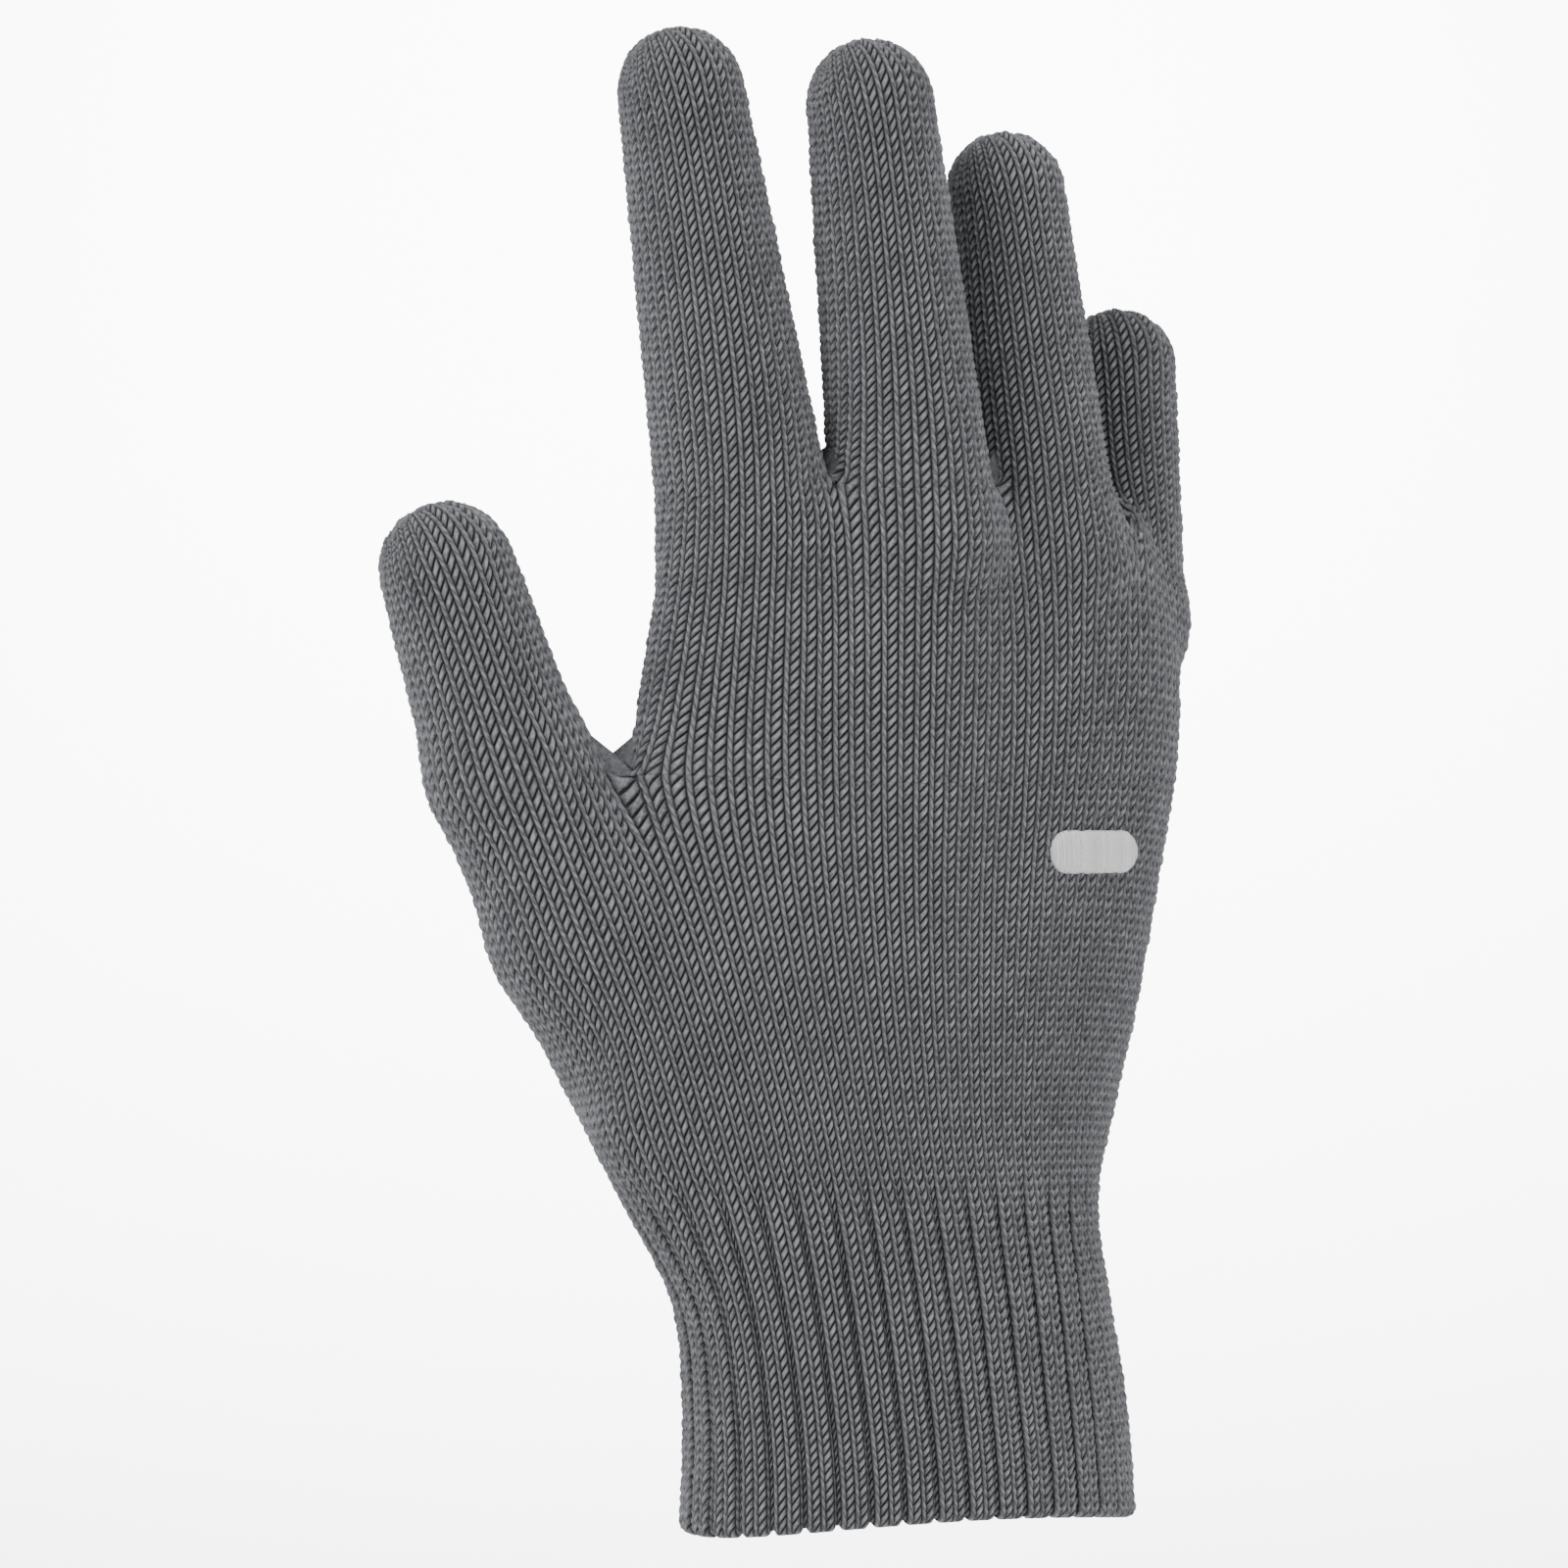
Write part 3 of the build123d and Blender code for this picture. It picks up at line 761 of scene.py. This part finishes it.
# Closing yarn: the same spun acrylic wound over the tip, its colour painted a little darker throughout as
# shade between its turns.
closing_yarn = thread_material("spun_acrylic_closing_yarn", "434447", "7f8084", 0.4, 0.9, 0.3, 0.2)
# Covered elastane: smooth fine filament, slightly glossy.
elastane_yarn = thread_material("covered_elastane_yarn", "47484b", "6d6e72", 0.3, 0.6, 0.1, 0.05)
# Rayon embroidery thread: packed satin stitches with a soft silky sheen.
embroidery_thread = thread_material("rayon_satin_stitch", "bdbdbb", "ffffff", 0.42, 0.5, 0.3, 0.2)
# Non-woven polyester backing: matt, felted.
backing_cloth = thread_material("nonwoven_polyester_backing", "c6c6c2", "e2e2de", 0.6, 0.9, 0.1, 0.1)
# Woven polyester satin: smooth face with a soft gloss.
label_satin = thread_material("woven_polyester_satin", "d4d4d1", "ececea", 0.2, 0.4, 0.1, 0.03)
label_thread = thread_material("polyester_sewing_thread", "b9b9b6", "d9d9d6", 0.2, 0.6, 0.1, 0.05)
# Studio paper: matt and nearly white.
paper = new_material("matt_studio_paper", Roughness=0.95)
grain = add(paper, "ShaderNodeTexNoise", {"Scale": 3.0, "Detail": 2.0})[0]
paint(paper, colour=add(paper, "ShaderNodeMix", {"Factor": grain, 6: linear("f2f2f2"), 7: linear("f6f6f6")},
                        data_type="RGBA")[2])


# ------------------------------------------------------------------ the glove's fabric pieces
LOWER_PALM = Knit(lower_palm, 0, ribbed=True)
PALM = Knit(palm, len(lower_palm) - 1)
TOP_PALM = Knit(top_palm, len(lower_palm) + len(palm) - 2)
below_little = len(lower_palm) + len(palm) - 2
below_fingers = below_little + len(top_palm) - 1
STARTS = {"index": below_fingers, "middle": below_fingers, "ring": below_fingers,
          "little": below_little, "thumb": len(lower_palm) - 1}
FABRIC_PIECES, SHORT_PIECES = [], []
SHORTEST_SHEET = 10.5     # millimetres
RIB_OPENED = 1.3          # the rib is this much wider when it is laid flat with its recesses open


def finish_fabric(piece, material, nodes, bodies, flat, zone=None):
    """Gives a fabric piece its material and hides its nodes; it is attached to its bodies unless it has a
    zone, when its place is baked, and it is listed as short or not by its cloth's length.
    """
    piece.data.materials.append(material)
    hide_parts(*nodes)
    if zone is None:
        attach(piece, bodies)
    else:
        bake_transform(piece)
    if flat[1] < SHORTEST_SHEET:        # too short to stand alone; the list of short pieces is cleared by the next longer one
        SHORT_PIECES.append(piece.name)
    else:
        SHORT_PIECES.clear()
        FABRIC_PIECES.append(piece.name)


def level_at(tube, axis, origin, distance):
    """The course, counted from the tube's first row, whose middle is that far along an axis."""
    middles = (STITCHES[tube].mean(axis=1) - origin) @ axis
    return float(np.interp(distance, middles, np.arange(len(middles))))


HEM_COURSES = 5
UP = np.array([0, 0, 1.0])
WRIST_REACH = 15.0
cuff_top = level_at(lower_palm, UP, WRIST, -WRIST_REACH - 1)
palm_start = level_at(lower_palm, UP, WRIST, WRIST_REACH + 1)
palm_middle = (palm_start + LOWER_PALM.courses) / 2
wrist_zone = (WRIST - UP * WRIST_REACH, WRIST + UP * WRIST_REACH)
for knit, name, low, high, material, nodes, bodies, zone in (
        (LOWER_PALM, "hem_welt", 0, HEM_COURSES, rib_yarn, ["cuff_hem"], "cuff", None),
        (LOWER_PALM, "cuff_rib", HEM_COURSES, cuff_top, rib_yarn, ["rib_cuff"], "cuff", None),
        (LOWER_PALM, "wrist_knit", cuff_top, palm_start, knit_yarn, ["wrist_bend_knit"],
         ("cuff", "hand"), wrist_zone),
        (LOWER_PALM, "heel_of_hand_knit", palm_start, palm_middle, knit_yarn, ["palm_lower"],
         "hand", None),
        (LOWER_PALM, "thumb_gore_knit", palm_middle, LOWER_PALM.courses, knit_yarn, ["thumb_base"],
         "hand", None),
        (PALM, "palm_knit", 0, PALM.courses, knit_yarn, ["palm_upper"], "hand", None),
        (TOP_PALM, "knuckle_knit", 0, TOP_PALM.courses, knit_yarn, ["palm_upper"], "hand", None)):
    low, high = round(low * ROWS) / ROWS, round(high * ROWS) / ROWS
    opened = RIB_OPENED if zone or "cuff" in bodies else 1.0
    finish_fabric(knit.piece(name, low, high), material, nodes, bodies,
                  knit.flat(low, high, opened), zone)

# How far each bend's zone reaches, each side of the hinge.
BEND_REACH = {
    "index": {"root": 10.5, "middle": 10.5, "tip": 9.0},
    "middle": {"root": 10.5, "middle": 10.5, "tip": 9.0},
    "ring": {"root": 9.0, "middle": 8.5, "tip": 7.5},
    "little": {"root": 6.8, "middle": 6.3, "tip": 5.0},
    "thumb": {"root": 7.8, "tip": 7.8},
}
for name, reaches in BEND_REACH.items():
    digit, tube = DIGITS[name], TUBES[name]
    knit = Knit(tube, STARTS[name], zipped=True, outer_side=FIRST_ROWS[name][1] % tube.shape[1])
    bends = list(reaches)
    hinges = [hinge(f"{name}_{bend}_bend") for bend in bends]
    places = [float((at - digit["root"]) @ digit["along"]) for at in hinges]
    cuts = [0.0] + [round(level_at(tube, digit["along"], digit["root"], (a + b) / 2) * ROWS) / ROWS
                    for a, b in zip(places, places[1:])] + [float(knit.courses)]
    segments = ["tube", "fingertip"] if name == "thumb" else ["lower_tube", "middle_tube", "fingertip"]
    body = "hand"
    first_row = float(((STITCHES[tube[0]] - digit["root"]) @ digit["along"]).max())
    for bend, at, segment, low, high in zip(bends, hinges, segments, cuts, cuts[1:]):
        nodes = [f"{name}_{bend}_bend_knit", f"{name}_{segment}"]
        if bend == "root" and name != "thumb":
            nodes.append(f"{name}_base")
        place = float((at - digit["root"]) @ digit["along"])
        start = max(place - reaches[bend], first_row + 0.3 if bend == "root" else 0)
        zone = [digit["root"] + digit["along"] * reach for reach in (start, place + reaches[bend])]
        finish_fabric(knit.piece(f"{name}_{bend}_knit", low, high), knit_yarn, nodes,
                      (body, f"{name}_{segment}"), knit.flat(low, high), zone)
        body = f"{name}_{segment}"


# ------------------------------------------------------------------ sewn and embroidered pieces
def tube_along(name, path, radius, sides=10, closed=False, twist=None):
    """A round yarn along a path in millimetres; twist gives the plies' pitch and depth."""
    after = np.roll(path, -1, axis=0) if closed else np.vstack([path[1:], 2 * path[-1] - path[-2]])
    before = np.roll(path, 1, axis=0) if closed else np.vstack([2 * path[0] - path[1], path[:-1]])
    along = after - before
    along /= np.linalg.norm(along, axis=1)[:, None]
    up = outward(path)
    up -= along * np.sum(up * along, axis=1)[:, None]
    up /= np.linalg.norm(up, axis=1)[:, None]
    side = np.cross(along, up)
    angles = np.arange(sides) * 2 * math.pi / sides
    run = np.concatenate([[0], np.cumsum(np.linalg.norm(np.diff(path, axis=0), axis=1))])
    thick = np.full((len(path), sides), float(radius))
    if not closed:
        thick *= np.sqrt(np.clip(1 - (2 * run / run[-1] - 1)[:, None] ** 12, 0.02, 1))
    if twist:
        pitch, depth = twist
        thick += depth * np.abs(np.sin(math.pi * run[:, None] / pitch + angles[None, :])) - depth / 2
    points = (path[:, None] + thick[..., None] * (np.cos(angles)[None, :, None] * up[:, None]
                                                  + np.sin(angles)[None, :, None] * side[:, None]))
    rings = len(path)
    numbers = np.arange(rings * sides).reshape(rings, sides)
    high = np.roll(numbers, -1, axis=0) if closed else numbers[1:]
    low = numbers if closed else numbers[:-1]
    turn = np.roll(np.arange(sides), -1)
    faces = np.stack([low, high, high[:, turn], low[:, turn]], -1).reshape(-1, 4)
    points = points.reshape(-1, 3)
    uv_v = np.repeat(run, sides).reshape(rings, sides)
    next_v = np.roll(uv_v, -1, axis=0) if closed else uv_v[1:]
    this_v = uv_v if closed else uv_v[:-1]
    u = np.broadcast_to(np.arange(sides) / sides, this_v.shape)
    uv = np.stack([np.stack([u, this_v], -1), np.stack([u, next_v], -1),
                   np.stack([u + 1 / sides, next_v], -1), np.stack([u + 1 / sides, this_v], -1)], 2)
    uv = uv.reshape(-1, 4, 2)
    if not closed:
        for ring in (numbers[0], numbers[-1][::-1]):
            half = sides // 2
            cap = [[ring[k], ring[k + 1], ring[sides - 2 - k], ring[sides - 1 - k]] for k in range(half - 1)]
            faces = np.concatenate([faces, np.array(cap)])
            uv = np.concatenate([uv, np.zeros((half - 1, 4, 2))])
    return make_mesh(name, points, faces, uv)


def finer(points, count):
    """The same open path with more points, on a smooth curve."""
    run = np.concatenate([[0], np.cumsum(np.linalg.norm(np.diff(points, axis=0), axis=1))])
    at = np.linspace(0, run[-1], count)
    soft = np.stack([np.interp(at, run, points[:, k]) for k in range(3)], 1)
    for _ in range(6):
        inner = (np.roll(soft, 1, axis=0) + 2 * soft + np.roll(soft, -1, axis=0)) / 4
        soft = np.vstack([soft[:1], inner[1:-1], soft[-1:]])
    return soft


def finish_piece(piece, material, body, node):
    """Gives a piece its material and the body that it rides, and hides the node that it stands for."""
    piece.data.materials.append(material)
    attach(piece, body)
    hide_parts(node)


def joined(pieces, name):
    """One piece made of several."""
    for piece in pieces:
        piece.select_set(True)
    bpy.context.view_layer.objects.active = pieces[0]
    bpy.ops.object.join()
    bpy.ops.object.select_all(action="DESELECT")
    pieces[0].name = name
    return pieces[0]


SEAM_RADIUS = 0.6
SEAM_TWIST = (1.9, 0.28)  # pitch and depth of the yarn's plies
SEAM_SUNK = 0.25
for name, seam in SEAMS.items():
    path = finer(STITCHES[seam], 90)
    path = settle(path, 2)[0]
    path = path - outward(path) * SEAM_SUNK
    piece = tube_along(f"{name}_closing_seam", path, SEAM_RADIUS, sides=12, twist=SEAM_TWIST)
    finish_piece(piece, closing_yarn, f"{name}_fingertip", f"{name}_tip_seam")


def from_behind(x, z, side=-1):
    """Points on the form straight in from the back of the hand, or from the palm side with side 1."""
    p = np.stack([x, np.full(len(x), side * 60.0), z], 1)
    for _ in range(60):
        p[:, 1] -= side * form(p) * 0.8
    return p, outward(p)


def patch(name, across, along, place, top, bottom):
    """A closed thin patch: place(u, w) gives points and directions, top and bottom its two levels."""
    u, w = np.meshgrid(across, along)
    points, normal = place(u.ravel(), w.ravel())
    shape = u.shape
    upper = points + normal * np.broadcast_to(top, shape).reshape(-1, 1)
    lower = points + normal * np.broadcast_to(bottom, shape).reshape(-1, 1)
    numbers = np.arange(u.size).reshape(shape)

    def quads(n):
        return np.stack([n[:-1, :-1], n[:-1, 1:], n[1:, 1:], n[1:, :-1]], -1).reshape(-1, 4)

    under = numbers + u.size
    edge = np.concatenate([numbers[0, :-1], numbers[:-1, -1], numbers[-1, :0:-1], numbers[:0:-1, 0]])
    after = np.roll(edge, -1)
    faces = np.concatenate([quads(numbers), quads(under)[:, ::-1],
                            np.stack([edge, edge + u.size, after + u.size, after], -1)])
    spots = np.concatenate([np.stack([u.ravel(), w.ravel()], 1)] * 2)
    piece = make_mesh(name, np.concatenate([upper, lower]), faces, spots[faces])
    bpy.context.view_layer.objects.active = piece
    piece.select_set(True)
    bpy.ops.object.mode_set(mode="EDIT")
    bpy.ops.mesh.select_all(action="SELECT")
    bpy.ops.mesh.normals_make_consistent(inside=False)
    bpy.ops.object.mode_set(mode="OBJECT")
    bpy.ops.object.select_all(action="DESELECT")
    return piece


# Embroidered bar: satin stitches lie side by side across it, packed into a low crown.
low, high = corners("emblem")
bar_x, bar_z = (low[0] + high[0]) / 2, (low[2] + high[2]) / 2
bar_half, bar_high = (high[0] - low[0]) / 2, (high[2] - low[2]) / 2
THREAD = 0.62             # width of an embroidery thread
BAR_CROWN = 0.85          # height of the padding's crown, where the thread lies thickest
THREAD_RIDGE = 0.4        # how far each thread stands out of the bar
BAR_BASE = 0.04           # the bar's edge, over the fabric's mean surface
RAGGED = 0.35             # how far the threads' ends miss the bar's outline
threads = round(2 * bar_half / THREAD)
across = np.linspace(-bar_half, bar_half, threads * 5 + 1)
along = np.linspace(-1, 1, 17)
u, w = np.meshgrid(across, along)
ends = np.clip((np.abs(u) - (bar_half - bar_high)) / bar_high, 0, 0.995)
half_high = bar_high * np.sqrt(1 - ends**2)
thread_at = (u + bar_half) / (2 * bar_half) * threads
ridge = np.abs(np.sin(math.pi * thread_at)) ** GRAIN_POWER
uneven = chance.normal(0, 0.12, threads + 1)[np.clip(thread_at.astype(int), 0, threads)]
bar_top = BAR_BASE + BAR_CROWN * (1 - w**4) ** 0.5 * (1 - 0.35 * ends**4) + THREAD_RIDGE * ridge


def bar_place(u, w):
    ragged = uneven.ravel() * RAGGED * np.abs(w) ** 3 * np.sign(w)
    return from_behind(bar_x + u, bar_z + (w * half_high.ravel() + ragged))


bar = patch("stitched_bar", across, along, bar_place, bar_top, -0.4)
finish_piece(bar, embroidery_thread, "hand", "emblem")

low, high = corners("emblem_backing")
backing = patch("bar_backing_cloth", np.linspace(low[0], high[0], 25), np.linspace(low[2], high[2], 13),
                from_behind, -FABRIC - 0.35, -FABRIC - 0.8)
finish_piece(backing, backing_cloth, "hand", "emblem_backing")

# Elastane yarns inside the cuff, wavy where they pass the rib's wales.
low, high = corners("cuff_elastic_yarns")
ELASTIC_ROWS = 6
ELASTIC_IN = 3.3          # from the form's surface inwards
ELASTIC_RADIUS = 0.34
ELASTIC_WAVE = 0.25
ELASTIC_EDGE = 0.45       # from the node's top and bottom to the nearest ring's middle
turns = np.linspace(0, 1, 306, endpoint=False)
rings = []
for row in range(ELASTIC_ROWS):
    z = low[2] + ELASTIC_EDGE + row * (high[2] - low[2] - 2 * ELASTIC_EDGE) / (ELASTIC_ROWS - 1)
    ring = settle(oval_ring(z, turns), 2)
    wave = ELASTIC_WAVE * np.cos(2 * math.pi * turns * CUFF_WALES / RIB_REPEAT)
    path = ring[0] - ring[1] * (ELASTIC_IN + wave[:, None])
    rings.append(tube_along(f"elastane_{row + 1}", path, ELASTIC_RADIUS, sides=8, closed=True,
                            twist=(1.2, 0.06)))
finish_piece(joined(rings, "cuff_elastane_yarns"), elastane_yarn, "cuff", "cuff_elastic_yarns")

# Blank satin label inside the palm side of the cuff, sewn along its top edge.
low, high = corners("care_label")


LABEL_IN = ELASTIC_IN + 0.75
LABEL_LOOSE = 1.2         # how far its free lower edge hangs off the cuff


def label_place(u, w):
    points, normal = from_behind(u, w, side=1)
    loose = smooth((high[2] - w) / (high[2] - low[2]))
    return points - normal * (loose * LABEL_LOOSE)[:, None], normal


label = patch("satin_label", np.linspace(low[0], high[0], 17), np.linspace(low[2], high[2], 23),
              label_place, -LABEL_IN, -LABEL_IN - 0.35)
finish_piece(label, label_satin, "cuff", "care_label")

low, high = corners("care_label_stitches")
LABEL_STITCHES = 5
stitch_z = (low[2] + high[2]) / 2
loops = []
for count in range(LABEL_STITCHES):
    middle = low[0] + (count + 0.5) * (high[0] - low[0]) / LABEL_STITCHES
    turn = np.linspace(0, math.pi, 12)
    points, normal = from_behind(middle - 1.0 * np.cos(turn), np.full(12, stitch_z), side=1)
    path = points - normal * (LABEL_IN + 0.2 + 0.45 * np.sin(turn)[:, None])
    loops.append(tube_along(f"label_stitch_{count + 1}", path, 0.2, sides=6))
finish_piece(joined(loops, "label_sewing"), label_thread, "cuff", "care_label_stitches")

# ------------------------------------------------------------------ floor, light and camera
TARGET = Vector((-0.0181, 0.00962, 0.1211))
CAMERA_TURN = math.radians(-28)
CAMERA_FAR = 1.2
toward = Vector((math.sin(CAMERA_TURN), -math.cos(CAMERA_TURN), 0))


def facing(direction):
    """The turn of a camera or a light that looks along a direction."""
    return direction.to_track_quat("-Z", "Y").to_euler()


camera_data = bpy.data.cameras.new("camera")
camera_data.lens = 168.75
camera_data.sensor_width = 36.0
camera = placed("camera", camera_data)
camera.location = TARGET + toward * CAMERA_FAR
camera.rotation_euler = facing(-toward)
bpy.context.scene.camera = camera

# Studio backdrop in metres: a floor that starts to curve up behind the glove, and a wall.
FLOOR_Z, FLOOR_FRONT = -0.25, -4.0
CURVE_START, CURVE_RADIUS = 1.4, 1.6
WALL_TOP, BACKDROP_HALF = 6.0, 5.0
profile = [(FLOOR_FRONT, FLOOR_Z)] + [
    (CURVE_START + CURVE_RADIUS * math.sin(a), FLOOR_Z + CURVE_RADIUS * (1 - math.cos(a)))
    for a in np.linspace(0, math.pi / 2, 24)] + [(CURVE_START + CURVE_RADIUS, WALL_TOP)]
points, faces = [], []
for i, (deep, z) in enumerate(profile):
    for side in (-BACKDROP_HALF, BACKDROP_HALF):
        place = -toward * deep + Vector((-toward.y, toward.x, 0)) * side
        points.append((place.x, place.y, z))
    if i:
        faces.append((2 * i - 2, 2 * i - 1, 2 * i + 1, 2 * i))
backdrop_mesh = bpy.data.meshes.new("studio_floor")
backdrop_mesh.from_pydata(points, [], faces)
backdrop = placed("studio_floor", backdrop_mesh)
backdrop_mesh.materials.append(paper)
for face in backdrop_mesh.polygons:
    face.use_smooth = True


def softbox(name, place, size, watts):
    """A round soft light of a size in metres, turned to the glove."""
    data = bpy.data.lights.new(name, "AREA")
    data.shape = "DISK"
    data.size = size
    data.energy = watts
    light = placed(name, data)
    light.location = place
    light.rotation_euler = facing(TARGET - Vector(place))
    return light


left = Vector((toward.y, -toward.x, 0))
softbox("key", TARGET + toward * 0.9 + left * 0.9 + Vector((0, 0, 1.2)), 0.7, 18)
softbox("fill", TARGET + toward * 1.3 - left * 1.2 + Vector((0, 0, 0.3)), 1.2, 6)
softbox("back", TARGET - toward * 1.0 + Vector((0, 0, 1.3)), 1.0, 2)
wash = softbox("backdrop_wash", TARGET - toward * 1.2 + Vector((0, 0, 2.2)), 1.2, 140)
wash.data.spread = math.radians(75)
wash.rotation_euler = facing(-toward * 1.6 - Vector((0, 0, 2.1)))
world = bpy.data.worlds.new("studio")
bpy.context.scene.world = world
world.use_nodes = True
background = world.node_tree.nodes["Background"].inputs
background["Color"].default_value = (1, 1, 1, 1)
background["Strength"].default_value = 0.82
